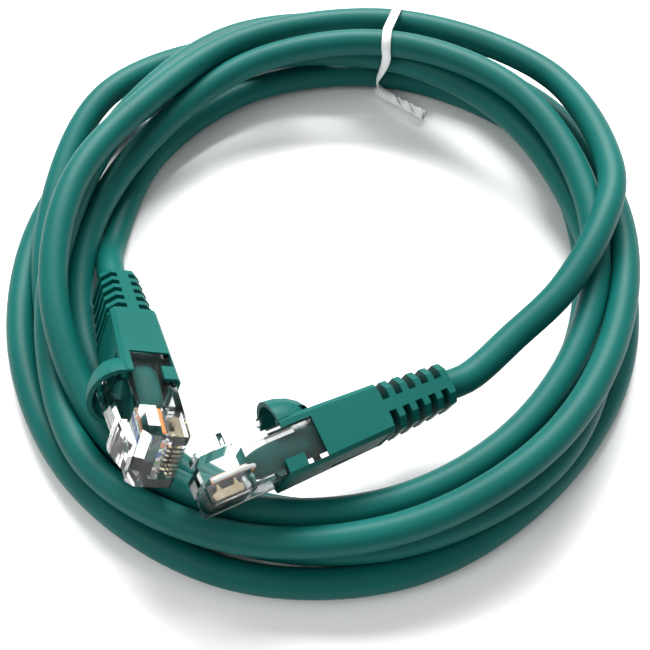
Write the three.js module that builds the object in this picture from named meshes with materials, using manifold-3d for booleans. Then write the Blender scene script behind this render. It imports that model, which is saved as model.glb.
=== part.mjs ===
// Ethernet patch cable: a round four-pair cord, loosely coiled and tied, with a clear 8P8C plug and a
// ribbed snagless boot on each end. Millimetres, +Z up, standing on z = 0.
import * as THREE from "three";
import { mergeVertices } from "three/addons/utils/BufferGeometryUtils.js";
import Module from "manifold-3d";

const wasm = await Module();
wasm.setup();

// ---------------------------------------------------------------- driving dimensions

// Cord
const CORD_RADIUS = 2.75;
const JACKET_WALL = 0.55;
const JACKET_SIDES = 8;
const CONDUCTOR_RADIUS = 0.42;
const CONDUCTOR_SIDES = 4;
const CONDUCTOR_PITCH = 1.0;

// 8P8C plug
const PLUG_LENGTH = 21.46;
const PLUG_WIDTH = 11.68;
const PLUG_HEIGHT = 8.0;
const PIN_COUNT = 8;
const PIN_PITCH = 1.02;
const SLOT_WIDTH = 0.6;
const BLADE_THICKNESS = 0.35;
const ROW_HEIGHT = 0.2;
const JACKET_END = -11;

// Boot
const BOOT_FRONT = -13.5;
const WINDOW_EDGE = -20.8;
const BODY_REAR = -33.7;
const BOOT_END = -47.5;
const HOOD_FRONT = -15.3;
const RIB_SLOTS = 5;
const RIB_PITCH = 2.7;
const RIB_GAP = 1.45;

// Where the coil's centre lies, so that the whole object is centred on the origin and touches z = 0
const COIL_CENTRE = [-0.6, -5.6, 0];

// The coil: radius and height of the cord's centreline at each eighth of a turn, going clockwise
// from nine o'clock. The last row stops where the cord leaves the coil.
const STATIONS_PER_TURN = 12;
const COIL_START = 15;
const COIL_END = 1950;
const TURNS = [
  [[41, 3], [51, 3.5], [60, 4], [63.5, 3], [61, 3], [59, 3], [61, 3], [60, 3.5]],
  [[59.5, 3], [63.5, 3.5], [60.5, 10.5], [55.5, 13], [54.5, 8.5], [58, 9.5], [55.5, 5.5], [54, 3]],
  [[54, 5], [65.5, 11.5], [70, 4], [68.5, 6.5], [58.5, 13.5], [56.5, 16], [56.5, 11.5], [57.5, 8.5]],
  [[51.5, 10.5], [56, 14.5], [70.5, 10.5], [61.5, 8.5], [53.5, 3], [49, 3.5], [48.5, 3.5], [46, 3]],
  [[48, 6], [49.5, 11.5], [56, 17], [57.5, 18.5], [53, 14.5], [50, 10.5], [50.5, 9.5], [51.5, 8.5]],
  [[50, 19.5], [51.5, 19], [64.5, 15.5], [68.5, 16], [53, 21.5]],
];

// The lead from the coil to the second plug, relative to the coil's centre
const LEAD_B = [
  [57, 17, 20.5],
  [53, 3, 20.5],
  [45, -9.5, 17.5],
  [35.5, -18, 14.5],
];

// Plug poses: nose point relative to the coil's centre, heading, pitch and roll in degrees
const PLUG_POSES = {
  a: { nose: [-26.2, -46.8, 21.7], yaw: -72.5, pitch: 16, roll: -26 },
  b: { nose: [-19.6, -50.8, 19.5], yaw: -151.5, pitch: 7, roll: -16 },
};

// Twist tie
const TIE_ANGLE = 75;
const TIE_WIDTH = 2.2;
const TIE_THICKNESS = 0.6;
const TIE_WIRE = 0.15;
const TIE_BORE_WIDTH = 0.6;
const TIE_BORE_HEIGHT = 0.4;
const TIE_GAP = 0.85;
const TIE_LOWEST = 0.55;
const TIE_PITCH = 2.4;
const TIE_ENTRY = 190;
const TIE_EXIT = 235;
const TIE_WRAP_STEPS = 22;
const TIE_BEND_STEPS = 5;
const TIE_BEND_REACH = 0.5;
const TIE_TAIL_STEPS = 13;
const TIE_TAIL_TWISTS = 1.25;
const TIE_TAIL_START = 2.4;
const TIE_TAIL_LENGTH = 9;
const TIE_TAIL_HEIGHT = 1.7;
const TIE_TAIL_INWARD = -0.4;
const TIE_TAIL_INSET = 1.8;
const TIE_PAIR_OFFSET = 0.5;

// ---------------------------------------------------------------- materials

function paint(color, roughness, metalness, opacity = 1) {
  return new THREE.MeshStandardMaterial({
    color,
    roughness,
    metalness,
    opacity,
    transparent: opacity < 1,
  });
}
const GREEN_PVC = paint(0x14695f, 0.5, 0);
const CLEAR_PC = paint(0xe6ecec, 0.1, 0, 0.35);
const GOLD = paint(0xd8b25a, 0.25, 1);
const WHITE_TIE = paint(0xf2f2ee, 0.6, 0);
const STEEL = paint(0x9a9a9a, 0.4, 1);
const CONDUCTOR_COLOURS = {
  white_orange: 0xf0d8c0,
  orange: 0xe07a1f,
  white_green: 0xd4e8d4,
  blue: 0x2b5fb4,
  white_blue: 0xd0dcf0,
  green: 0x2c8a4a,
  white_brown: 0xe0d0c4,
  brown: 0x6b4226,
};

// ---------------------------------------------------------------- solid helpers

function solidOf(geometry) {
  const bare = geometry.index ? geometry.toNonIndexed() : geometry.clone();
  bare.deleteAttribute("normal");
  bare.deleteAttribute("uv");
  const merged = mergeVertices(bare, 1e-4);
  return new wasm.Manifold(
    new wasm.Mesh({
      numProp: 3,
      vertProperties: merged.attributes.position.array,
      triVerts: new Uint32Array(merged.index.array),
    }),
  );
}

function geometryOf(solid) {
  const mesh = solid.getMesh();
  const geometry = new THREE.BufferGeometry();
  geometry.setAttribute("position", new THREE.BufferAttribute(mesh.vertProperties, 3));
  geometry.setIndex(new THREE.BufferAttribute(mesh.triVerts, 1));
  geometry.computeVertexNormals();
  return geometry;
}

function box(x0, x1, y0, y1, z0, z1) {
  const geometry = new THREE.BoxGeometry(x1 - x0, y1 - y0, z1 - z0);
  geometry.translate((x0 + x1) / 2, (y0 + y1) / 2, (z0 + z1) / 2);
  return solidOf(geometry);
}

// A plate cut along an outline of [x, z] points, from y0 to y1.
function plate(outline, y0, y1) {
  const shape = new THREE.Shape(outline.map(([x, z]) => new THREE.Vector2(x, z)));
  const geometry = new THREE.ExtrudeGeometry(shape, { depth: y1 - y0, bevelEnabled: false });
  geometry.rotateX(Math.PI / 2);
  geometry.translate(0, y1, 0);
  return solidOf(geometry);
}

function cylinderX(radius, x0, x1, sides = 20) {
  const geometry = new THREE.CylinderGeometry(radius, radius, x1 - x0, sides);
  geometry.rotateZ(Math.PI / 2);
  geometry.translate((x0 + x1) / 2, 0, 0);
  return solidOf(geometry);
}

// Joins rings of equally many points into a closed skin. A hollow loft goes back along inner rings.
function loft(rings, innerRings = null) {
  const positions = [];
  const indices = [];
  const sides = rings[0].length;
  const addSkin = (list, outward) => {
    const first = positions.length / 3;
    list.forEach((ring) => ring.forEach((p) => positions.push(p.x, p.y, p.z)));
    for (let i = 0; i + 1 < list.length; i++) {
      for (let j = 0; j < sides; j++) {
        const a = first + i * sides + j;
        const b = first + i * sides + ((j + 1) % sides);
        const quad = outward
          ? [a, b, a + sides, b, b + sides, a + sides]
          : [a, a + sides, b, b, a + sides, b + sides];
        indices.push(...quad);
      }
    }
    return first;
  };
  const outer = addSkin(rings, true);
  const last = (rings.length - 1) * sides;
  if (innerRings) {
    const inner = addSkin(innerRings, false);
    for (let j = 0; j < sides; j++) {
      const k = (j + 1) % sides;
      indices.push(outer + j, inner + j, outer + k, outer + k, inner + j, inner + k);
      indices.push(outer + last + j, outer + last + k, inner + last + j);
      indices.push(outer + last + k, inner + last + k, inner + last + j);
    }
  } else {
    for (let j = 1; j + 1 < sides; j++) {
      indices.push(outer, outer + j + 1, outer + j);
      indices.push(outer + last, outer + last + j, outer + last + j + 1);
    }
  }
  const geometry = new THREE.BufferGeometry();
  geometry.setAttribute("position", new THREE.Float32BufferAttribute(positions, 3));
  geometry.setIndex(indices);
  geometry.computeVertexNormals();
  return geometry;
}

function named(name, geometry, material) {
  const mesh = new THREE.Mesh(geometry, material);
  mesh.name = name;
  return mesh;
}

// ---------------------------------------------------------------- the plugs' frames

// A plug's own frame: x towards the nose, y across its width, z towards the contacts.
function plugFrame({ nose, yaw, pitch, roll }) {
  const [heading, climb, lean] = [yaw, pitch, roll].map(THREE.MathUtils.degToRad);
  const x = new THREE.Vector3(
    Math.cos(climb) * Math.cos(heading),
    Math.cos(climb) * Math.sin(heading),
    Math.sin(climb),
  );
  const up = new THREE.Vector3(0, 0, 1).addScaledVector(x, -x.z).normalize();
  const side = x.clone().cross(up);
  const y = up.multiplyScalar(-Math.cos(lean)).addScaledVector(side, -Math.sin(lean));
  const z = x.clone().cross(y);
  return new THREE.Matrix4().makeBasis(x, y, z).setPosition(...nose);
}

const frames = {
  a: plugFrame(PLUG_POSES.a),
  b: plugFrame(PLUG_POSES.b),
};

function inPlug(end, x, y = 0, z = 0) {
  return new THREE.Vector3(x, y, z).applyMatrix4(frames[end]);
}

function widthAxis(end) {
  return new THREE.Vector3().setFromMatrixColumn(frames[end], 1);
}

// ---------------------------------------------------------------- the cord's route

// The smooth curve through a list of [radius, height] pairs, an eighth of a turn apart.
const coilCurve = new THREE.CatmullRomCurve3(
  TURNS.flat().map(([radius, height]) => new THREE.Vector3(radius, height, 0)),
  false,
  "catmullrom",
);
const EIGHTHS = TURNS.flat().length - 1;

// The cord is drawn in straight steps, so its corners stand a little outside the true curve and the
// middle of each step as much inside it.
const CORNER_GAIN = 1 / Math.sqrt(Math.cos(Math.PI / STATIONS_PER_TURN));

function coilPoint(degrees, gain = 1) {
  const { x: radius, y: height } = coilCurve.getPoint(degrees / 45 / EIGHTHS);
  const angle = THREE.MathUtils.degToRad(180 - degrees);
  const reach = radius * gain;
  return new THREE.Vector3(reach * Math.cos(angle), reach * Math.sin(angle), height);
}

const STRAIGHT_STATIONS = [JACKET_END, -21, BODY_REAR, BOOT_END];
const LEAD_OUT = 6;

function cordRoute() {
  const route = STRAIGHT_STATIONS.map((x) => inPlug("a", x));
  route.push(inPlug("a", BOOT_END - LEAD_OUT));
  const step = 360 / STATIONS_PER_TURN;
  for (let degrees = COIL_START; degrees <= COIL_END; degrees += step) {
    route.push(coilPoint(degrees, CORNER_GAIN));
  }
  LEAD_B.forEach((point) => route.push(new THREE.Vector3(...point)));
  route.push(inPlug("b", BOOT_END - LEAD_OUT));
  [...STRAIGHT_STATIONS].reverse().forEach((x) => route.push(inPlug("b", x)));
  return route;
}

// Frames carried along the route without twist, then twisted evenly so that the width axes of the
// two plugs line up at both ends.
function carriedFrames(route, start, end) {
  const tangents = route.map((_, i) => {
    const before = route[Math.max(i - 1, 0)];
    const after = route[Math.min(i + 1, route.length - 1)];
    return after.clone().sub(before).normalize();
  });
  let across = start.clone();
  const carried = tangents.map((tangent) => {
    across = across.clone().addScaledVector(tangent, -across.dot(tangent)).normalize();
    return across;
  });
  const last = tangents.length - 1;
  const turn = Math.atan2(
    end.dot(tangents[last].clone().cross(carried[last])),
    end.dot(carried[last]),
  );
  return tangents.map((tangent, i) => {
    const u = carried[i].clone().applyAxisAngle(tangent, (turn * i) / last);
    return { centre: route[i], u, v: tangent.clone().cross(u) };
  });
}

function ringAt(frame, radius, sides, du = 0, dv = 0) {
  return Array.from({ length: sides }, (_, j) => {
    const angle = ((j + 0.5) / sides) * 2 * Math.PI;
    return frame.centre
      .clone()
      .addScaledVector(frame.u, du + radius * Math.cos(angle))
      .addScaledVector(frame.v, dv + radius * Math.sin(angle));
  });
}

const route = cordRoute();
const cordFrames = carriedFrames(route, widthAxis("a"), widthAxis("b"));

// ---------------------------------------------------------------- cord

function makeJacket() {
  const bore = CORD_RADIUS - JACKET_WALL;
  const geometry = loft(
    cordFrames.map((frame) => ringAt(frame, CORD_RADIUS, JACKET_SIDES)),
    cordFrames.map((frame) => ringAt(frame, bore, JACKET_SIDES)),
  );
  return named("cable_jacket", geometry, GREEN_PVC);
}

// A conductor runs as one of two rows of four in the jacket, then fans out to its place in the row
// under the contacts.
function makeConductor(pin, colour) {
  const column = Math.floor(pin / 2);
  const bundleU = (column - 1.5) * CONDUCTOR_PITCH;
  const bundleV = (pin % 2 ? -0.5 : 0.5) * CONDUCTOR_PITCH;
  const pinY = (pin - (PIN_COUNT - 1) / 2) * PIN_PITCH;
  const fan = (end) =>
    [-1.8, -8].map((x) => {
      const centre = inPlug(end, x, pinY, ROW_HEIGHT);
      const frame = end === "a" ? cordFrames[0] : cordFrames[cordFrames.length - 1];
      return ringAt({ ...frame, centre }, CONDUCTOR_RADIUS, CONDUCTOR_SIDES);
    });
  const rings = [
    ...fan("a"),
    ...cordFrames.map((frame) =>
      ringAt(frame, CONDUCTOR_RADIUS, CONDUCTOR_SIDES, bundleU, bundleV),
    ),
    ...fan("b").reverse(),
  ];
  const material = paint(CONDUCTOR_COLOURS[colour], 0.5, 0);
  return named(`conductor_${pin + 1}_${colour}`, loft(rings), material);
}

// ---------------------------------------------------------------- plug

const HALF_WIDTH = PLUG_WIDTH / 2;
const HALF_HEIGHT = PLUG_HEIGHT / 2;

function pinPlaces() {
  return Array.from({ length: PIN_COUNT }, (_, i) => (i - (PIN_COUNT - 1) / 2) * PIN_PITCH);
}

function housingGeometry() {
  const outline = [
    [-PLUG_LENGTH, -HALF_HEIGHT],
    [-1.2, -HALF_HEIGHT],
    [0, -2.6],
    [0, 3.5],
    [-0.5, HALF_HEIGHT],
    [-PLUG_LENGTH, HALF_HEIGHT],
  ];
  const cableHole = box(-PLUG_LENGTH - 1, -8.2, -4.3, 4.3, -3.1, 3.1);
  const wireSlot = box(-8.5, -1.3, -4.25, 4.25, ROW_HEIGHT - 0.55, ROW_HEIGHT + 0.55);
  const clampWindow = box(-17.2, -13.4, -3.8, 3.8, 2.9, 5);
  const clampTongue = plate([[-17.4, 3.25], [-13.9, 3.15], [-13.9, 3.6], [-17.4, 4]], -3.4, 3.4);
  let housing = plate(outline, -HALF_WIDTH, HALF_WIDTH)
    .subtract(cableHole)
    .subtract(wireSlot)
    .subtract(clampWindow)
    .add(clampTongue);
  for (const y of pinPlaces()) {
    const slot = box(-7.2, 1, y - SLOT_WIDTH / 2, y + SLOT_WIDTH / 2, ROW_HEIGHT + 0.5, 5);
    housing = housing.subtract(slot);
  }
  return geometryOf(housing);
}

function contactGeometry(y) {
  const outline = [
    [-1.0, 3.4],
    [-5.9, 3.4],
    [-6.3, 2.4],
    [-5.6, 2.0],
    [-5.2, 0.8],
    [-4.7, 2.0],
    [-2.6, 2.0],
    [-2.2, 0.8],
    [-1.7, 2.0],
    [-0.7, 2.4],
  ];
  return geometryOf(plate(outline, y - BLADE_THICKNESS / 2, y + BLADE_THICKNESS / 2));
}

function latchGeometry() {
  const head = plate([[-0.8, -4.35], [-6.6, -4.9], [-6.6, -7], [-5, -7], [-0.8, -5.2]], -3, 3);
  const tail = plate([[-6, -5.1], [-18.5, -6.7], [-18.5, -7.6], [-6, -6.2]], -1.6, 1.6);
  return geometryOf(head.add(tail));
}

// ---------------------------------------------------------------- boot

// A rectangle in a plane across the plug's axis, with cut corners.
function bootRing(x, halfWidth, low, high, corner) {
  return [
    [halfWidth, low + corner],
    [halfWidth, high - corner],
    [halfWidth - corner, high],
    [corner - halfWidth, high],
    [-halfWidth, high - corner],
    [-halfWidth, low + corner],
    [corner - halfWidth, low],
    [halfWidth - corner, low],
  ].map(([y, z]) => new THREE.Vector3(x, y, z));
}

function bootLoft(stations) {
  const rings = stations.map((station) => bootRing(...station)).reverse();
  return solidOf(loft(rings));
}

function hoodSolid() {
  const centre = [HOOD_FRONT, 0, -4.3];
  const dome = (length, width, height) => {
    const geometry = new THREE.SphereGeometry(1, 20, 12);
    geometry.scale(length, width, height);
    geometry.translate(...centre);
    return solidOf(geometry);
  };
  const rearHalf = box(-26, HOOD_FRONT, -8, 8, -12, -4.6);
  return dome(7.7, 6.4, 5.4).subtract(dome(6.8, 5.5, 4.5)).intersect(rearHalf);
}

function bootGeometry() {
  const body = bootLoft([
    [BOOT_FRONT, 6.6, -5, 4.9, 0.7],
    [BODY_REAR, 5.9, -4.4, 4.4, 0.7],
  ]);
  const tail = bootLoft([
    [BODY_REAR + 0.5, 5.9, -4.6, 4.6, 1.8],
    [BOOT_END, 4.7, -3.8, 3.8, 1.6],
  ]);
  let boot = body
    .add(hoodSolid())
    .add(tail)
    .subtract(box(-PLUG_LENGTH - 0.3, 0, -6, 6, -4.2, 4.2))
    .subtract(cylinderX(CORD_RADIUS + 0.25, BOOT_END - 1, -20))
    .subtract(box(-22.3, 0, -4.6, 4.6, -6, -4))
    .subtract(box(HOOD_FRONT, 0, -8, 8, -14, -3))
    .subtract(box(BODY_REAR + 1.5, WINDOW_EDGE - 2.5, -3.8, 3.8, 4.45, 6));
  for (const side of [-1, 1]) {
    const [low, high] = side < 0 ? [-8, -5.5] : [5.5, 8];
    boot = boot
      .subtract(box(WINDOW_EDGE, 0, low, high, -3.2, 1.9))
      .subtract(box(WINDOW_EDGE, -17, low, high, 1.8, 4.2));
  }
  for (let i = 0; i < RIB_SLOTS; i++) {
    const x = BODY_REAR - 0.2 - i * RIB_PITCH;
    boot = boot
      .subtract(box(x - RIB_GAP, x, -8, 8, 1.1, 8))
      .subtract(box(x - RIB_GAP, x, -8, 8, -8, -1.1));
  }
  return geometryOf(boot);
}

function makeEnd(end) {
  const group = new THREE.Group();
  group.applyMatrix4(frames[end]);
  group.add(named(`plug_housing_${end}`, housingGeometry(), CLEAR_PC));
  group.add(named(`latch_${end}`, latchGeometry(), CLEAR_PC));
  group.add(named(`boot_${end}`, bootGeometry(), GREEN_PVC));
  pinPlaces().forEach((y, i) => {
    group.add(named(`contact_${end}_${i + 1}`, contactGeometry(y), GOLD));
  });
  return group;
}

// ---------------------------------------------------------------- twist tie

// The tie wraps the bundle where every turn passes the tie's angle, starting and ending at the
// bottom inside the coil. From there its two ends lie on each other, twisted along the floor.
// The stations of an easy bend from one frame to another, turning steadily between the two.
function bend(from, to) {
  const [back, backTo] = [from, to].map(({ u, v }) => u.clone().cross(v));
  const turned = ({ u, v }, w) =>
    new THREE.Quaternion().setFromRotationMatrix(new THREE.Matrix4().makeBasis(u, v, w));
  const [start, end] = [turned(from, back), turned(to, backTo)];
  const reach = TIE_BEND_REACH * from.centre.distanceTo(to.centre);
  const path = new THREE.CubicBezierCurve3(
    from.centre,
    from.centre.clone().addScaledVector(back, -reach),
    to.centre.clone().addScaledVector(backTo, reach),
    to.centre,
  );
  return Array.from({ length: TIE_BEND_STEPS }, (_, i) => {
    const part = (i + 1) / (TIE_BEND_STEPS + 1);
    const turn = start.clone().slerp(end, part);
    return {
      centre: path.getPoint(part),
      u: new THREE.Vector3(1, 0, 0).applyQuaternion(turn),
      v: new THREE.Vector3(0, 1, 0).applyQuaternion(turn),
    };
  });
}

function tieFrames() {
  const angle = THREE.MathUtils.degToRad(TIE_ANGLE);
  const outward = new THREE.Vector3(Math.cos(angle), Math.sin(angle), 0);
  const along = new THREE.Vector3(Math.sin(angle), -Math.cos(angle), 0);
  const strands = TURNS.map((_, turn) => {
    const point = coilPoint(360 * turn + 180 - TIE_ANGLE, CORNER_GAIN);
    return [point.dot(outward), point.z];
  });
  const reach = CORD_RADIUS + TIE_GAP + TIE_THICKNESS / 2;
  const wrapFrame = (direction, shift) => {
    const [c, s] = [Math.cos(direction), Math.sin(direction)];
    const height = ([r, z]) => r * c + z * s;
    const outermost = strands.reduce((best, p) => (height(p) > height(best) ? p : best));
    const centre = outward.clone().multiplyScalar(outermost[0] + reach * c);
    centre.addScaledVector(along, shift);
    centre.z = Math.max(outermost[1] + reach * s, TIE_LOWEST);
    const normal = outward.clone().multiplyScalar(c);
    normal.z = s;
    return { centre, u: along, v: normal };
  };

  const entry = THREE.MathUtils.degToRad(TIE_ENTRY);
  const exit = THREE.MathUtils.degToRad(TIE_EXIT);
  const wrap = Array.from({ length: TIE_WRAP_STEPS }, (_, i) => {
    const part = i / (TIE_WRAP_STEPS - 1);
    const direction = THREE.MathUtils.lerp(entry, exit - 2 * Math.PI, part);
    return wrapFrame(direction, TIE_PITCH * (0.5 - part));
  });

  const knot = wrapFrame(exit, 0).centre.addScaledVector(outward, -TIE_TAIL_INSET);
  const tailWay = along.clone().addScaledVector(outward, TIE_TAIL_INWARD).normalize();
  const sideways = new THREE.Vector3(-tailWay.y, tailWay.x, 0);
  // side is 1 on the end that lies beneath at first, and -1 on the other.
  const tail = (side) =>
    Array.from({ length: TIE_TAIL_STEPS }, (_, i) => {
      const part = i / (TIE_TAIL_STEPS - 1);
      const phase = part * TIE_TAIL_TWISTS * 2 * Math.PI;
      const normal = sideways.clone().multiplyScalar(Math.sin(phase));
      normal.z = -Math.cos(phase);
      const flat = sideways.clone().multiplyScalar(Math.cos(phase));
      flat.z = Math.sin(phase);
      const centre = knot.clone().addScaledVector(tailWay, TIE_TAIL_START + part * TIE_TAIL_LENGTH);
      centre.z = TIE_TAIL_HEIGHT;
      centre.addScaledVector(normal, side * TIE_PAIR_OFFSET);
      return { centre, u: flat.multiplyScalar(side), v: normal };
    });
  const [first, last] = [tail(-1).reverse(), tail(1)];
  return [
    ...first,
    ...bend(first.at(-1), wrap[0]),
    ...wrap,
    ...bend(wrap.at(-1), last[0]),
    ...last,
  ];
}

function tieRing({ centre, u, v }, width, thickness) {
  return [
    [-1, -1],
    [-1, 1],
    [1, 1],
    [1, -1],
  ].map(([across, out]) =>
    centre
      .clone()
      .addScaledVector(u, (across * width) / 2)
      .addScaledVector(v, (out * thickness) / 2),
  );
}
function makeTie() {
  const stations = tieFrames();
  const rings = (width, thickness) => stations.map((frame) => tieRing(frame, width, thickness));
  const ribbon = loft(rings(TIE_WIDTH, TIE_THICKNESS), rings(TIE_BORE_WIDTH, TIE_BORE_HEIGHT));
  return [
    named("tie_ribbon", ribbon, WHITE_TIE),
    named("tie_wire", loft(rings(TIE_WIRE, TIE_WIRE)), STEEL),
  ];
}

// ---------------------------------------------------------------- assembly

const group = new THREE.Group();
const assembly = new THREE.Group();
assembly.position.set(...COIL_CENTRE);
group.add(assembly);
assembly.add(makeJacket());
Object.keys(CONDUCTOR_COLOURS).forEach((colour, pin) => assembly.add(makeConductor(pin, colour)));
assembly.add(makeEnd("a"));
assembly.add(makeEnd("b"));
assembly.add(...makeTie());

export default group;
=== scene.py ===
# Looks of the ethernet patch cable: the coiled cord, its wires, plugs, boots and tie, in metres.
import math
import bmesh
import bpy
from mathutils import Matrix, Vector


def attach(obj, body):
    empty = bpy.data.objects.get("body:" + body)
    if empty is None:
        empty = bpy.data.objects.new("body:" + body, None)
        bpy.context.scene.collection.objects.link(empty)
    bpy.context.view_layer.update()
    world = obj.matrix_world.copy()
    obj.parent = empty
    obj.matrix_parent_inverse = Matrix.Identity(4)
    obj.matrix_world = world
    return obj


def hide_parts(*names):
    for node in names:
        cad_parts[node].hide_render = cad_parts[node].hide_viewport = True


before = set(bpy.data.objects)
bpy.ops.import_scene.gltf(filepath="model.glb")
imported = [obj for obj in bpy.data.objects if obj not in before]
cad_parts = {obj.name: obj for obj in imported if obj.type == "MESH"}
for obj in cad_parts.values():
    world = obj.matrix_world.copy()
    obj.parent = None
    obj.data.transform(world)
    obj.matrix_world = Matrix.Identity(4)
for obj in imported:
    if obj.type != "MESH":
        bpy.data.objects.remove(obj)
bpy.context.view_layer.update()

MM = 0.001

# ------------------------------------------------------------------ camera

# The point looked at lies on the floor near the middle of the coil.
VIEW_TARGET = Vector((0.4, -11.6, 0)) * MM
VIEW_DISTANCE = 220 * MM
VIEW_ELEVATION = math.radians(57)
VIEW_LENS = 60.9

camera_data = bpy.data.cameras.new("camera")
camera_data.lens = VIEW_LENS
camera_data.clip_start = 0.01
camera_data.clip_end = 10
camera = bpy.data.objects.new("camera", camera_data)
bpy.context.collection.objects.link(camera)
back = Vector((0, -math.cos(VIEW_ELEVATION), math.sin(VIEW_ELEVATION)))
camera.location = VIEW_TARGET + back * VIEW_DISTANCE
camera.rotation_euler = back.to_track_quat("Z", "Y").to_euler()
bpy.context.scene.camera = camera

# ------------------------------------------------------------------ the cord's route, as in part.mjs

CORD_RADIUS = 2.75
COIL_CENTRE = Vector((-0.6, -5.6, 0))
COIL_START = 15
COIL_END = 1950
STATIONS_PER_TURN = 12
TURNS = [
    [(41, 3), (51, 3.5), (60, 4), (63.5, 3), (61, 3), (59, 3), (61, 3), (60, 3.5)],
    [(59.5, 3), (63.5, 3.5), (60.5, 10.5), (55.5, 13), (54.5, 8.5), (58, 9.5), (55.5, 5.5), (54, 3)],
    [(54, 5), (65.5, 11.5), (70, 4), (68.5, 6.5), (58.5, 13.5), (56.5, 16), (56.5, 11.5), (57.5, 8.5)],
    [(51.5, 10.5), (56, 14.5), (70.5, 10.5), (61.5, 8.5), (53.5, 3), (49, 3.5), (48.5, 3.5), (46, 3)],
    [(48, 6), (49.5, 11.5), (56, 17), (57.5, 18.5), (53, 14.5), (50, 10.5), (50.5, 9.5), (51.5, 8.5)],
    [(50, 19.5), (51.5, 19), (64.5, 15.5), (68.5, 16), (53, 21.5)],
]
LEAD_B = [(57, 17, 20.5), (53, 3, 20.5), (45, -9.5, 17.5), (35.5, -18, 14.5)]
PLUG_POSES = {
    "a": {"nose": (-26.2, -46.8, 21.7), "yaw": -72.5, "pitch": 16, "roll": -26},
    "b": {"nose": (-19.6, -50.8, 19.5), "yaw": -151.5, "pitch": 7, "roll": -16},
}
STRAIGHT_STATIONS = [-11, -21, -33.7, -47.5]
LEAD_OUT = 6
FAR_BEHIND = -1000.0
EIGHTH_DEGREES = 45


def plug_matrix(nose, yaw, pitch, roll):
    """A plug's own frame: x towards the nose, y across its width, z towards the contacts."""
    heading, climb, lean = map(math.radians, (yaw, pitch, roll))
    x = Vector((math.cos(climb) * math.cos(heading), math.cos(climb) * math.sin(heading), math.sin(climb)))
    up = (Vector((0, 0, 1)) - x * x.z).normalized()
    side = x.cross(up)
    y = -math.cos(lean) * up - math.sin(lean) * side
    z = x.cross(y)
    matrix = Matrix((x, y, z)).transposed().to_4x4()
    matrix.translation = Vector(nose) + COIL_CENTRE
    return matrix


PLUGS = {end: plug_matrix(**pose) for end, pose in PLUG_POSES.items()}


def in_plug(end, x, y=0, z=0):
    return PLUGS[end] @ Vector((x, y, z))


def catmull_rom(points, t):
    """The point at t, in spans, on the smooth curve through the points."""
    i = min(int(t), len(points) - 2)
    f = t - i
    p1, p2 = points[i], points[i + 1]
    p0 = points[i - 1] if i else 2 * p1 - p2
    p3 = points[i + 2] if i + 2 < len(points) else 2 * p2 - p1
    a = 2 * p1
    b = p2 - p0
    c = 2 * p0 - 5 * p1 + 4 * p2 - p3
    d = 3 * p1 - p0 - 3 * p2 + p3
    return 0.5 * (a + b * f + c * f * f + d * f * f * f)


EIGHTHS = [Vector(pair) for turn in TURNS for pair in turn]


def inside(end, point):
    """How far along a plug's own axis a point lies, if it is in line with that plug; else far behind."""
    local = PLUGS[end].inverted() @ point
    in_line = math.hypot(local.y, local.z) < 0.5 and local.x > STRAIGHT_STATIONS[-1]
    return local.x if in_line else FAR_BEHIND


def coil_point(degrees):
    radius, height = catmull_rom(EIGHTHS, degrees / EIGHTH_DEGREES)
    angle = math.radians(180 - degrees)
    return COIL_CENTRE + Vector((radius * math.cos(angle), radius * math.sin(angle), height))


def spaced(points, step):
    """The same line with its points a step apart."""
    lengths = [0.0]
    for before, after in zip(points, points[1:]):
        lengths.append(lengths[-1] + (after - before).length)
    count = max(2, round(lengths[-1] / step))
    out = []
    i = 0
    for k in range(count + 1):
        target = lengths[-1] * k / count
        while i < len(points) - 2 and lengths[i + 1] < target:
            i += 1
        part = (target - lengths[i]) / (lengths[i + 1] - lengths[i])
        out.append(points[i].lerp(points[i + 1], part))
    return out, lengths[-1]


def smooth_through(points, samples=12):
    """A dense line through the points, with each span's speed matched to its own length."""
    out = []
    for i in range(len(points) - 1):
        p1, p2 = points[i], points[i + 1]
        p0 = points[i - 1] if i else 2 * p1 - p2
        p3 = points[i + 2] if i + 2 < len(points) else 2 * p2 - p1
        d0 = max((p1 - p0).length ** 0.5, 1e-6)
        d1 = (p2 - p1).length ** 0.5
        d2 = max((p3 - p2).length ** 0.5, 1e-6)
        m1 = (p1 - p0) / d0 - (p2 - p0) / (d0 + d1) + (p2 - p1) / d1
        m2 = (p2 - p1) / d1 - (p3 - p1) / (d1 + d2) + (p3 - p2) / d2
        m1 *= d1
        m2 *= d1
        for k in range(samples):
            f = k / samples
            h = f * f * (3 - 2 * f)
            out.append(
                p1 * (1 - h) + p2 * h + m1 * (f * (1 - f) ** 2) + m2 * (f * f * (f - 1))
            )
    out.append(points[-1])
    return out


def cord_line():
    """The cord's centreline from inside plug a to inside plug b, dense and smooth."""
    line = [in_plug("a", x) for x in STRAIGHT_STATIONS]
    line.append(in_plug("a", STRAIGHT_STATIONS[-1] - LEAD_OUT))
    step = 360 // STATIONS_PER_TURN
    line += [coil_point(degrees) for degrees in range(COIL_START, COIL_END + 1, step)]
    line += [COIL_CENTRE + Vector(point) for point in LEAD_B]
    line.append(in_plug("b", STRAIGHT_STATIONS[-1] - LEAD_OUT))
    line += [in_plug("b", x) for x in reversed(STRAIGHT_STATIONS)]
    return smooth_through(line)


# ------------------------------------------------------------------ mesh helpers


def add_object(name, bm, smooth=True):
    mesh = bpy.data.meshes.new(name)
    bm.to_mesh(mesh)
    bm.free()
    for polygon in mesh.polygons:
        polygon.use_smooth = smooth
    piece = bpy.data.objects.new(name, mesh)
    bpy.context.collection.objects.link(piece)
    return piece


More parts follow.
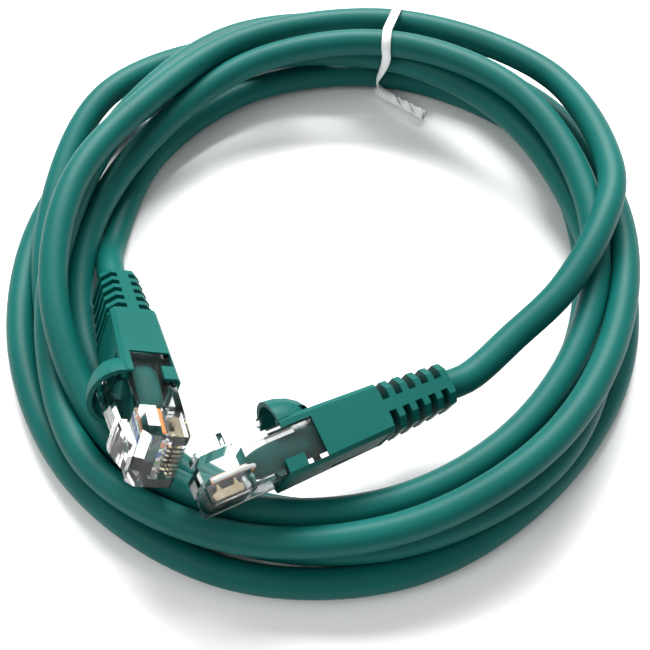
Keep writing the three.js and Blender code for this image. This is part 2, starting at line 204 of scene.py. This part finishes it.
def carried_frames(line, start, end=None):
    """(centre, u, v) along a line, carried without twist and then turned evenly to meet end."""
    count = len(line)
    tangents = [
        (line[min(i + 1, count - 1)] - line[max(i - 1, 0)]).normalized() for i in range(count)
    ]
    across = start
    carried = []
    for tangent in tangents:
        across = (across - tangent * across.dot(tangent)).normalized()
        carried.append(across)
    turn = 0.0
    if end is not None:
        last = tangents[-1]
        turn = math.atan2(end.dot(last.cross(carried[-1])), end.dot(carried[-1]))
    out = []
    for i, (tangent, u) in enumerate(zip(tangents, carried)):
        u = Matrix.Rotation(turn * i / (count - 1), 3, tangent) @ u
        out.append((line[i], u, tangent.cross(u)))
    return out


def tube(name, frames, section, bore=None):
    """A skin over the frames; section(i) is the (u, v) outline at frame i. UVs: length, around.

    bore(i), if given, is the outline of the hollow inside, and the ends are then rings."""
    bm = bmesh.new()
    uv_layer = bm.loops.layers.uv.new("along_around")
    lengths = [0.0]
    for i in range(1, len(frames)):
        lengths.append(lengths[-1] + (frames[i][0] - frames[i - 1][0]).length)

    def skin(outline, inward):
        rings = [
            [bm.verts.new((centre + u * a + v * b) * MM) for a, b in outline(i)]
            for i, (centre, u, v) in enumerate(frames)
        ]
        sides = len(rings[0])
        for i in range(len(rings) - 1):
            for j in range(sides):
                k = (j + 1) % sides
                corners = [rings[i][j], rings[i][k], rings[i + 1][k], rings[i + 1][j]]
                places = [(i, j), (i, j + 1), (i + 1, j + 1), (i + 1, j)]
                if inward:
                    corners.reverse()
                    places.reverse()
                face = bm.faces.new(corners)
                for loop, (row, column) in zip(face.loops, places):
                    loop[uv_layer].uv = (lengths[row] * MM, column / sides)
        return rings

    outer = skin(section, False)
    if bore is None:
        bm.faces.new(list(reversed(outer[0])))
        bm.faces.new(outer[-1])
    else:
        inner = skin(bore, True)
        sides = len(outer[0])
        for j in range(sides):
            k = (j + 1) % sides
            bm.faces.new((outer[0][k], outer[0][j], inner[0][j], inner[0][k]))
            bm.faces.new((outer[-1][j], outer[-1][k], inner[-1][k], inner[-1][j]))
    return add_object(name, bm)


def circle(radius, sides, du=0.0, dv=0.0):
    return [
        (du + radius * math.cos(2 * math.pi * j / sides), dv + radius * math.sin(2 * math.pi * j / sides))
        for j in range(sides)
    ]


# ------------------------------------------------------------------ materials


class Nodes:
    """A short way to build a Principled material's nodes."""

    def __init__(self, name):
        self.material = bpy.data.materials.new(name)
        self.material.use_nodes = True
        self.tree = self.material.node_tree
        self.shader = self.tree.nodes["Principled BSDF"]

    def add(self, kind, **values):
        node = self.tree.nodes.new(kind)
        for key, value in values.items():
            if key in node.inputs:
                node.inputs[key].default_value = value
            else:
                setattr(node, key, value)
        return node

    def link(self, output, target):
        self.tree.links.new(output, target)

    def ramp(self, source, stops):
        node = self.add("ShaderNodeValToRGB")
        elements = node.color_ramp.elements
        while len(elements) < len(stops):
            elements.new(0.5)
        for element, (place, colour) in zip(elements, stops):
            element.position = place
            element.color = (*colour, 1)
        self.link(source, node.inputs["Fac"])
        return node.outputs["Color"]

    def spread(self, source, low, high):
        node = self.add("ShaderNodeMapRange")
        node.inputs["To Min"].default_value = low
        node.inputs["To Max"].default_value = high
        self.link(source, node.inputs["Value"])
        return node.outputs["Result"]

    def noise(self, scale, detail=3.0, roughness=0.5):
        node = self.add("ShaderNodeTexNoise", Scale=scale, Detail=detail, Roughness=roughness)
        coordinates = self.add("ShaderNodeTexCoord")
        self.link(coordinates.outputs["Object"], node.inputs["Vector"])
        return node.outputs["Fac"]

    def bump(self, height, strength, distance):
        node = self.add("ShaderNodeBump", Strength=strength, Distance=distance)
        self.link(height, node.inputs["Height"])
        self.link(node.outputs["Normal"], self.shader.inputs["Normal"])

    def set(self, **values):
        for key, value in values.items():
            self.shader.inputs[key.replace("_", " ")].default_value = value


def pvc_material(name, dark, light, rough_low, rough_high, grain):
    m = Nodes(name)
    cloud = m.noise(60, 2)
    m.link(m.ramp(cloud, [(0.3, dark), (0.7, light)]), m.shader.inputs["Base Color"])
    fine = m.noise(grain, 4, 0.6)
    m.link(m.spread(fine, rough_low, rough_high), m.shader.inputs["Roughness"])
    m.bump(fine, 0.25, 0.00006)
    m.set(IOR=1.42, Specular_IOR_Level=0.22)
    return m


JACKET_DARK = (0.001, 0.082, 0.072)
JACKET_LIGHT = (0.0012, 0.098, 0.086)
jacket_material = pvc_material("jacket_pvc", JACKET_DARK, JACKET_LIGHT, 0.44, 0.56, 1800).material
BOOT_DARK = (0.001, 0.08, 0.068)
BOOT_LIGHT = (0.0012, 0.094, 0.08)
boot_material = pvc_material("boot_pvc", BOOT_DARK, BOOT_LIGHT, 0.46, 0.6, 1200).material


def clear_material():
    m = Nodes("clear_polycarbonate")
    faint = m.noise(300, 2)
    m.link(m.spread(faint, 0.03, 0.09), m.shader.inputs["Roughness"])
    m.bump(m.noise(150, 2), 0.15, 0.00008)
    m.set(Base_Color=(0.98, 0.985, 0.985, 1), Transmission_Weight=1.0, IOR=1.45, Specular_IOR_Level=0.35)
    return m.material


def metal_material(name, dark, light, rough_low, rough_high):
    m = Nodes(name)
    cloud = m.noise(900, 3)
    m.link(m.ramp(cloud, [(0.3, dark), (0.7, light)]), m.shader.inputs["Base Color"])
    m.link(m.spread(cloud, rough_low, rough_high), m.shader.inputs["Roughness"])
    m.bump(m.noise(4000, 2), 0.1, 0.00002)
    m.set(Metallic=1.0)
    return m.material


def wire_material(name, colour, stripe=None):
    """Insulation in one colour, or white with a stripe that winds round the wire."""
    m = Nodes(name)
    tone = m.noise(400, 2)
    pale = tuple(min(1.0, c * 1.15 + 0.01) for c in colour)
    base = m.ramp(tone, [(0.3, colour), (0.7, pale)])
    if stripe is not None:
        uv = m.add("ShaderNodeUVMap", uv_map="along_around")
        split = m.add("ShaderNodeSeparateXYZ")
        m.link(uv.outputs["UV"], split.inputs["Vector"])
        off, on = (0, 0, 0), (1, 1, 1)
        edges = [(0.0, off), (0.34, off), (0.36, on), (0.64, on), (0.66, off)]
        band = m.ramp(split.outputs["Y"], edges)
        mix = m.add("ShaderNodeMix", data_type="RGBA")
        m.link(band, mix.inputs["Factor"])
        m.link(base, mix.inputs["A"])
        mix.inputs["B"].default_value = (*stripe, 1)
        base = mix.outputs["Result"]
    m.link(base, m.shader.inputs["Base Color"])
    m.link(m.spread(tone, 0.35, 0.5), m.shader.inputs["Roughness"])
    return m.material


clear = clear_material()
gold = metal_material("contact_gold", (0.78, 0.66, 0.42), (0.9, 0.82, 0.62), 0.14, 0.3)
tie_plastic = pvc_material("tie_plastic", (0.78, 0.79, 0.79), (0.86, 0.87, 0.87), 0.3, 0.45, 900).material
steel = metal_material("tie_steel", (0.42, 0.42, 0.42), (0.55, 0.55, 0.55), 0.3, 0.45)

WHITE = (0.8, 0.8, 0.78)
ORANGE = (0.8, 0.22, 0.02)
GREEN = (0.02, 0.28, 0.06)
BLUE = (0.02, 0.1, 0.45)
BROWN = (0.15, 0.06, 0.025)
WIRES = [
    ("white_orange", WHITE, ORANGE),
    ("orange", ORANGE, None),
    ("white_green", WHITE, GREEN),
    ("blue", BLUE, None),
    ("white_blue", WHITE, BLUE),
    ("green", GREEN, None),
    ("white_brown", WHITE, BROWN),
    ("brown", BROWN, None),
]
PAIRS = [(0, 1), (3, 4), (2, 5), (6, 7)]

# ------------------------------------------------------------------ cord

CORD_STEP = 1.8
CORD_SIDES = 24
JACKET_BORE = 2.2

dense = cord_line()
line, cord_length = spaced(dense, CORD_STEP)
width_a = PLUGS["a"].to_3x3().col[1]
width_b = PLUGS["b"].to_3x3().col[1]

# The jacket is pressed flat and wide inside each plug, and ends in a rounded tongue.
TONGUE_TIP = -8.7
FLAT_FROM = -21
FLAT_FULL = -18
TONGUE_FROM = -13.5
TONGUE_RINGS = 5
TONGUE_STEP = 0.4
TONGUE_BACK = 1.8
TONGUE_CLEAR = 2
FLAT_HALF_WIDTH = 4.0
FLAT_HALF_HEIGHT = 2.55


def pressed_outline(x):
    """The jacket's outline at x along a plug: round in the boot, then wide and flat, then a tongue."""
    ease = min(max((x - FLAT_FROM) / (FLAT_FULL - FLAT_FROM), 0), 1)
    ease = ease * ease * (3 - 2 * ease)
    half_width = CORD_RADIUS + (FLAT_HALF_WIDTH - CORD_RADIUS) * ease
    half_height = CORD_RADIUS + (FLAT_HALF_HEIGHT - CORD_RADIUS) * ease
    power = 1 - 0.35 * ease
    tip = min(max((x - TONGUE_FROM) / (TONGUE_TIP - TONGUE_FROM), 0), 1)
    narrow = math.sqrt(max(1 - tip * tip, 0.01))
    half_width *= narrow
    half_height *= 0.55 + 0.45 * narrow
    out = []
    for j in range(CORD_SIDES):
        angle = 2 * math.pi * j / CORD_SIDES
        c, s = math.cos(angle), math.sin(angle)
        out.append((
            half_width * math.copysign(abs(c) ** power, c),
            half_height * math.copysign(abs(s) ** power, s),
        ))
    return out


def jacket():
    fronts = [TONGUE_TIP + TONGUE_STEP * k - TONGUE_BACK for k in range(TONGUE_RINGS)]
    front_a = [in_plug("a", x) for x in reversed(fronts)]
    front_b = [in_plug("b", x) for x in fronts]
    middle = [p for p in line if max(inside("a", p), inside("b", p)) < TONGUE_TIP - TONGUE_CLEAR]
    whole = front_a + middle + front_b
    frames = carried_frames(whole, width_a, width_b)

    def section(i):
        x = max(inside("a", whole[i]), inside("b", whole[i]))
        return pressed_outline(x) if x > FLAT_FROM - 0.01 else circle(CORD_RADIUS, CORD_SIDES)

    def bore(i):
        return [(a * JACKET_BORE / CORD_RADIUS, b * JACKET_BORE / CORD_RADIUS) for a, b in section(i)]

    piece = tube("jacket", frames, section, bore)
    piece.data.materials.append(jacket_material)
    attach(piece, "cable")
    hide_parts("cable_jacket")
    return piece


the_jacket = jacket()

# ------------------------------------------------------------------ wires

WIRE_RADIUS = 0.44
WIRE_SIDES = 10
WIRE_STEP = 3.6
PIN_PITCH = 1.02
ROW_HEIGHT = 0.2
WIRE_TIP = -1.7
LANE_STEP = 2
LANE_END = -7.6
CORE_END = -13
CORE_MARGIN = 2
PAIR_RADIUS = 1.0
PAIR_TWIST = 26


def wire_line(pin):
    """One wire: in its place under a contact, fanned in to its pair, then twisted along the cord."""
    pair = next(k for k, members in enumerate(PAIRS) if pin in members)
    side = 1 if PAIRS[pair][0] == pin else -1
    pin_y = (pin - (len(WIRES) - 1) / 2) * PIN_PITCH
    points = []
    along = 0.0
    for i, (centre, u, v) in enumerate(cord_core):
        if i:
            along += (centre - cord_core[i - 1][0]).length
        base = math.pi / 4 + pair * math.pi / 2
        spin = along / PAIR_TWIST * 2 * math.pi + pair
        du = PAIR_RADIUS * math.cos(base) + side * WIRE_RADIUS * math.cos(spin)
        dv = PAIR_RADIUS * math.sin(base) + side * WIRE_RADIUS * math.sin(spin)
        points.append(centre + u * du + v * dv)

    def fan(end):
        places = (WIRE_TIP, WIRE_TIP - LANE_STEP, WIRE_TIP - 2 * LANE_STEP, LANE_END)
        return [in_plug(end, x, pin_y, ROW_HEIGHT) for x in places]

    return smooth_through(fan("a") + points + list(reversed(fan("b"))), samples=3)


core_middle = [p for p in line if max(inside("a", p), inside("b", p)) < CORE_END - CORE_MARGIN]
core_line = spaced([in_plug("a", CORE_END)] + core_middle + [in_plug("b", CORE_END)], WIRE_STEP)[0]
cord_core = carried_frames(core_line, width_a, width_b)
for pin, (colour, tone, stripe) in enumerate(WIRES):
    frames = carried_frames(wire_line(pin), width_a)
    wire = tube(f"wire_{pin + 1}_{colour}", frames, lambda i: circle(WIRE_RADIUS, WIRE_SIDES))
    wire.data.materials.append(wire_material(f"wire_{colour}", tone, stripe))
    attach(wire, "cable")
    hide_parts(f"conductor_{pin + 1}_{colour}")

# ------------------------------------------------------------------ tie

TIE_ANGLE = math.radians(75)
TIE_WIDTH = 2.0
TIE_THICKNESS = 0.9
TIE_SIDES = 18
TIE_GAP = 0.12
TIE_LOWEST = 0.5
TIE_PITCH = 2.4
TIE_ENTRY = math.radians(190)
TIE_EXIT = math.radians(235)
TIE_WRAP_STEPS = 110
TIE_BEND_STEPS = 24
TIE_BEND_REACH = 0.5
TIE_TAIL_STEPS = 40
TIE_TAIL_TWISTS = 1.25
TIE_TAIL_START = 2.4
TIE_TAIL_LENGTH = 9
TIE_TAIL_HEIGHT = 1.7
TIE_TAIL_INWARD = -0.4
TIE_TAIL_INSET = 1.8
TIE_PAIR_OFFSET = 0.5
TIE_WIRE_RADIUS = 0.2
TIE_WIRE_SHOWN = 0.5


def bend(start, end):
    """The frames of an easy bend from one frame to another, turning steadily between the two."""
    ways = [u.cross(v) for _, u, v in (start, end)]
    turns = [
        Matrix((u, v, way)).transposed().to_quaternion() for (_, u, v), way in zip((start, end), ways)
    ]
    reach = TIE_BEND_REACH * (end[0] - start[0]).length
    corners = (start[0], start[0] - ways[0] * reach, end[0] + ways[1] * reach, end[0])
    out = []
    for i in range(TIE_BEND_STEPS):
        t = (i + 1) / (TIE_BEND_STEPS + 1)
        k = 1 - t
        weights = (k**3, 3 * k * k * t, 3 * k * t * t, t**3)
        centre = sum((corner * weight for corner, weight in zip(corners, weights)), Vector((0, 0, 0)))
        turn = turns[0].slerp(turns[1], t)
        out.append((centre, turn @ Vector((1, 0, 0)), turn @ Vector((0, 1, 0))))
    return out


def tie_frames():
    """The tie's (centre, u, v): one twisted end, once round the bundle, and the other twisted end."""
    outward = Vector((math.cos(TIE_ANGLE), math.sin(TIE_ANGLE), 0))
    along = Vector((math.sin(TIE_ANGLE), -math.cos(TIE_ANGLE), 0))
    strands = []
    for turn in range(len(TURNS)):
        point = coil_point(360 * turn + 180 - math.degrees(TIE_ANGLE))
        strands.append((point.dot(outward), point.z))
    reach = CORD_RADIUS + TIE_GAP + TIE_THICKNESS / 2

    def wrap_frame(direction, shift):
        c, s = math.cos(direction), math.sin(direction)
        radial, height = max(strands, key=lambda p: p[0] * c + p[1] * s)
        centre = outward * (radial + reach * c) + along * shift
        centre.z = max(height + reach * s, TIE_LOWEST)
        return centre, along, outward * c + Vector((0, 0, s))

    wrap = []
    for i in range(TIE_WRAP_STEPS):
        part = i / (TIE_WRAP_STEPS - 1)
        direction = TIE_ENTRY + (TIE_EXIT - 2 * math.pi - TIE_ENTRY) * part
        wrap.append(wrap_frame(direction, TIE_PITCH * (0.5 - part)))
    knot = wrap_frame(TIE_EXIT, 0)[0] - outward * TIE_TAIL_INSET
    tail_way = (along + outward * TIE_TAIL_INWARD).normalized()
    sideways = Vector((-tail_way.y, tail_way.x, 0))

    def tail(side):
        out = []
        for i in range(TIE_TAIL_STEPS):
            part = i / (TIE_TAIL_STEPS - 1)
            phase = part * TIE_TAIL_TWISTS * 2 * math.pi
            normal = sideways * math.sin(phase) - Vector((0, 0, math.cos(phase)))
            flat = sideways * math.cos(phase) + Vector((0, 0, math.sin(phase)))
            centre = knot + tail_way * (TIE_TAIL_START + part * TIE_TAIL_LENGTH)
            centre.z = TIE_TAIL_HEIGHT
            out.append((centre + normal * side * TIE_PAIR_OFFSET, flat * side, normal))
        return out

    first, last = list(reversed(tail(-1))), tail(1)
    return first + bend(first[-1], wrap[0]) + wrap + bend(wrap[-1], last[0]) + last


def tie():
    frames = [(centre, -u, v) for centre, u, v in tie_frames()]
    oval = [(a * TIE_WIDTH / 2, b * TIE_THICKNESS / 2) for a, b in circle(1, TIE_SIDES)]
    ribbon = tube("tie_coating", frames, lambda i: oval)
    first_way = (frames[0][0] - frames[1][0]).normalized() * TIE_WIRE_SHOWN
    last_way = (frames[-1][0] - frames[-2][0]).normalized() * TIE_WIRE_SHOWN
    start = (frames[0][0] + first_way, *frames[0][1:])
    finish = (frames[-1][0] + last_way, *frames[-1][1:])
    longer = [start] + frames + [finish]
    wire = tube("tie_core", longer, lambda i: circle(TIE_WIRE_RADIUS, 8))
    for piece, material, node in ((ribbon, tie_plastic, "tie_ribbon"), (wire, steel, "tie_wire")):
        piece.data.materials.append(material)
        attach(piece, "cable")
        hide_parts(node)


tie()

# ------------------------------------------------------------------ CAD nodes that stay


def bevel(node, width, segments=2):
    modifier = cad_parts[node].modifiers.new("bevel", "BEVEL")
    modifier.width = width * MM
    modifier.segments = segments
    modifier.limit_method = "ANGLE"
    modifier.angle_limit = math.radians(28)
    modifier.harden_normals = True


def dress(node, material):
    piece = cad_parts[node]
    piece.data.materials.clear()
    piece.data.materials.append(material)


for end in "ab":
    dress(f"plug_housing_{end}", clear)
    bevel(f"plug_housing_{end}", 0.12)
    dress(f"latch_{end}", clear)
    bevel(f"latch_{end}", 0.2)
    dress(f"boot_{end}", boot_material)
    bevel(f"boot_{end}", 0.18)
    for pin in range(1, 9):
        dress(f"contact_{end}_{pin}", gold)
        bevel(f"contact_{end}_{pin}", 0.05)

# ------------------------------------------------------------------ light and floor


def floor():
    bm = bmesh.new()
    bmesh.ops.create_grid(bm, x_segments=1, y_segments=1, size=3)
    piece = add_object("floor", bm)
    m = Nodes("floor")
    tone = m.ramp(m.noise(8, 2), [(0.0, (0.9, 0.9, 0.9)), (1.0, (0.92, 0.92, 0.92))])
    m.link(tone, m.shader.inputs["Base Color"])
    m.set(Roughness=0.7)
    piece.data.materials.append(m.material)


def area_light(name, place, target, size, power):
    data = bpy.data.lights.new(name, "AREA")
    data.shape = "RECTANGLE"
    data.size, data.size_y = size
    data.energy = power
    light = bpy.data.objects.new(name, data)
    light.location = place
    light.rotation_euler = (Vector(place) - Vector(target)).to_track_quat("Z", "Y").to_euler()
    bpy.context.collection.objects.link(light)


floor()


def studio_world():
    """A pale dome, darker towards the horizon, so that clear parts show their edges."""
    world = bpy.data.worlds.new("studio")
    world.use_nodes = True
    tree = world.node_tree
    background = tree.nodes["Background"]
    coordinates = tree.nodes.new("ShaderNodeTexCoord")
    split = tree.nodes.new("ShaderNodeSeparateXYZ")
    ramp = tree.nodes.new("ShaderNodeValToRGB")
    ramp.color_ramp.elements[0].position = 0.15
    ramp.color_ramp.elements[0].color = (0.4, 0.41, 0.41, 1)
    ramp.color_ramp.elements[1].position = 0.75
    ramp.color_ramp.elements[1].color = (1, 1, 1, 1)
    tree.links.new(coordinates.outputs["Generated"], split.inputs["Vector"])
    tree.links.new(split.outputs["Z"], ramp.inputs["Fac"])
    tree.links.new(ramp.outputs["Color"], background.inputs["Color"])
    background.inputs["Strength"].default_value = 0.6
    bpy.context.scene.world = world


studio_world()
area_light("key", (0.0, 0.5, 0.55), (0, 0, 0), (0.5, 0.3), 14)
area_light("fill", (-0.5, -0.3, 0.6), (0, 0, 0), (0.5, 0.5), 2)
bpy.context.scene.view_settings.view_transform = "Standard"
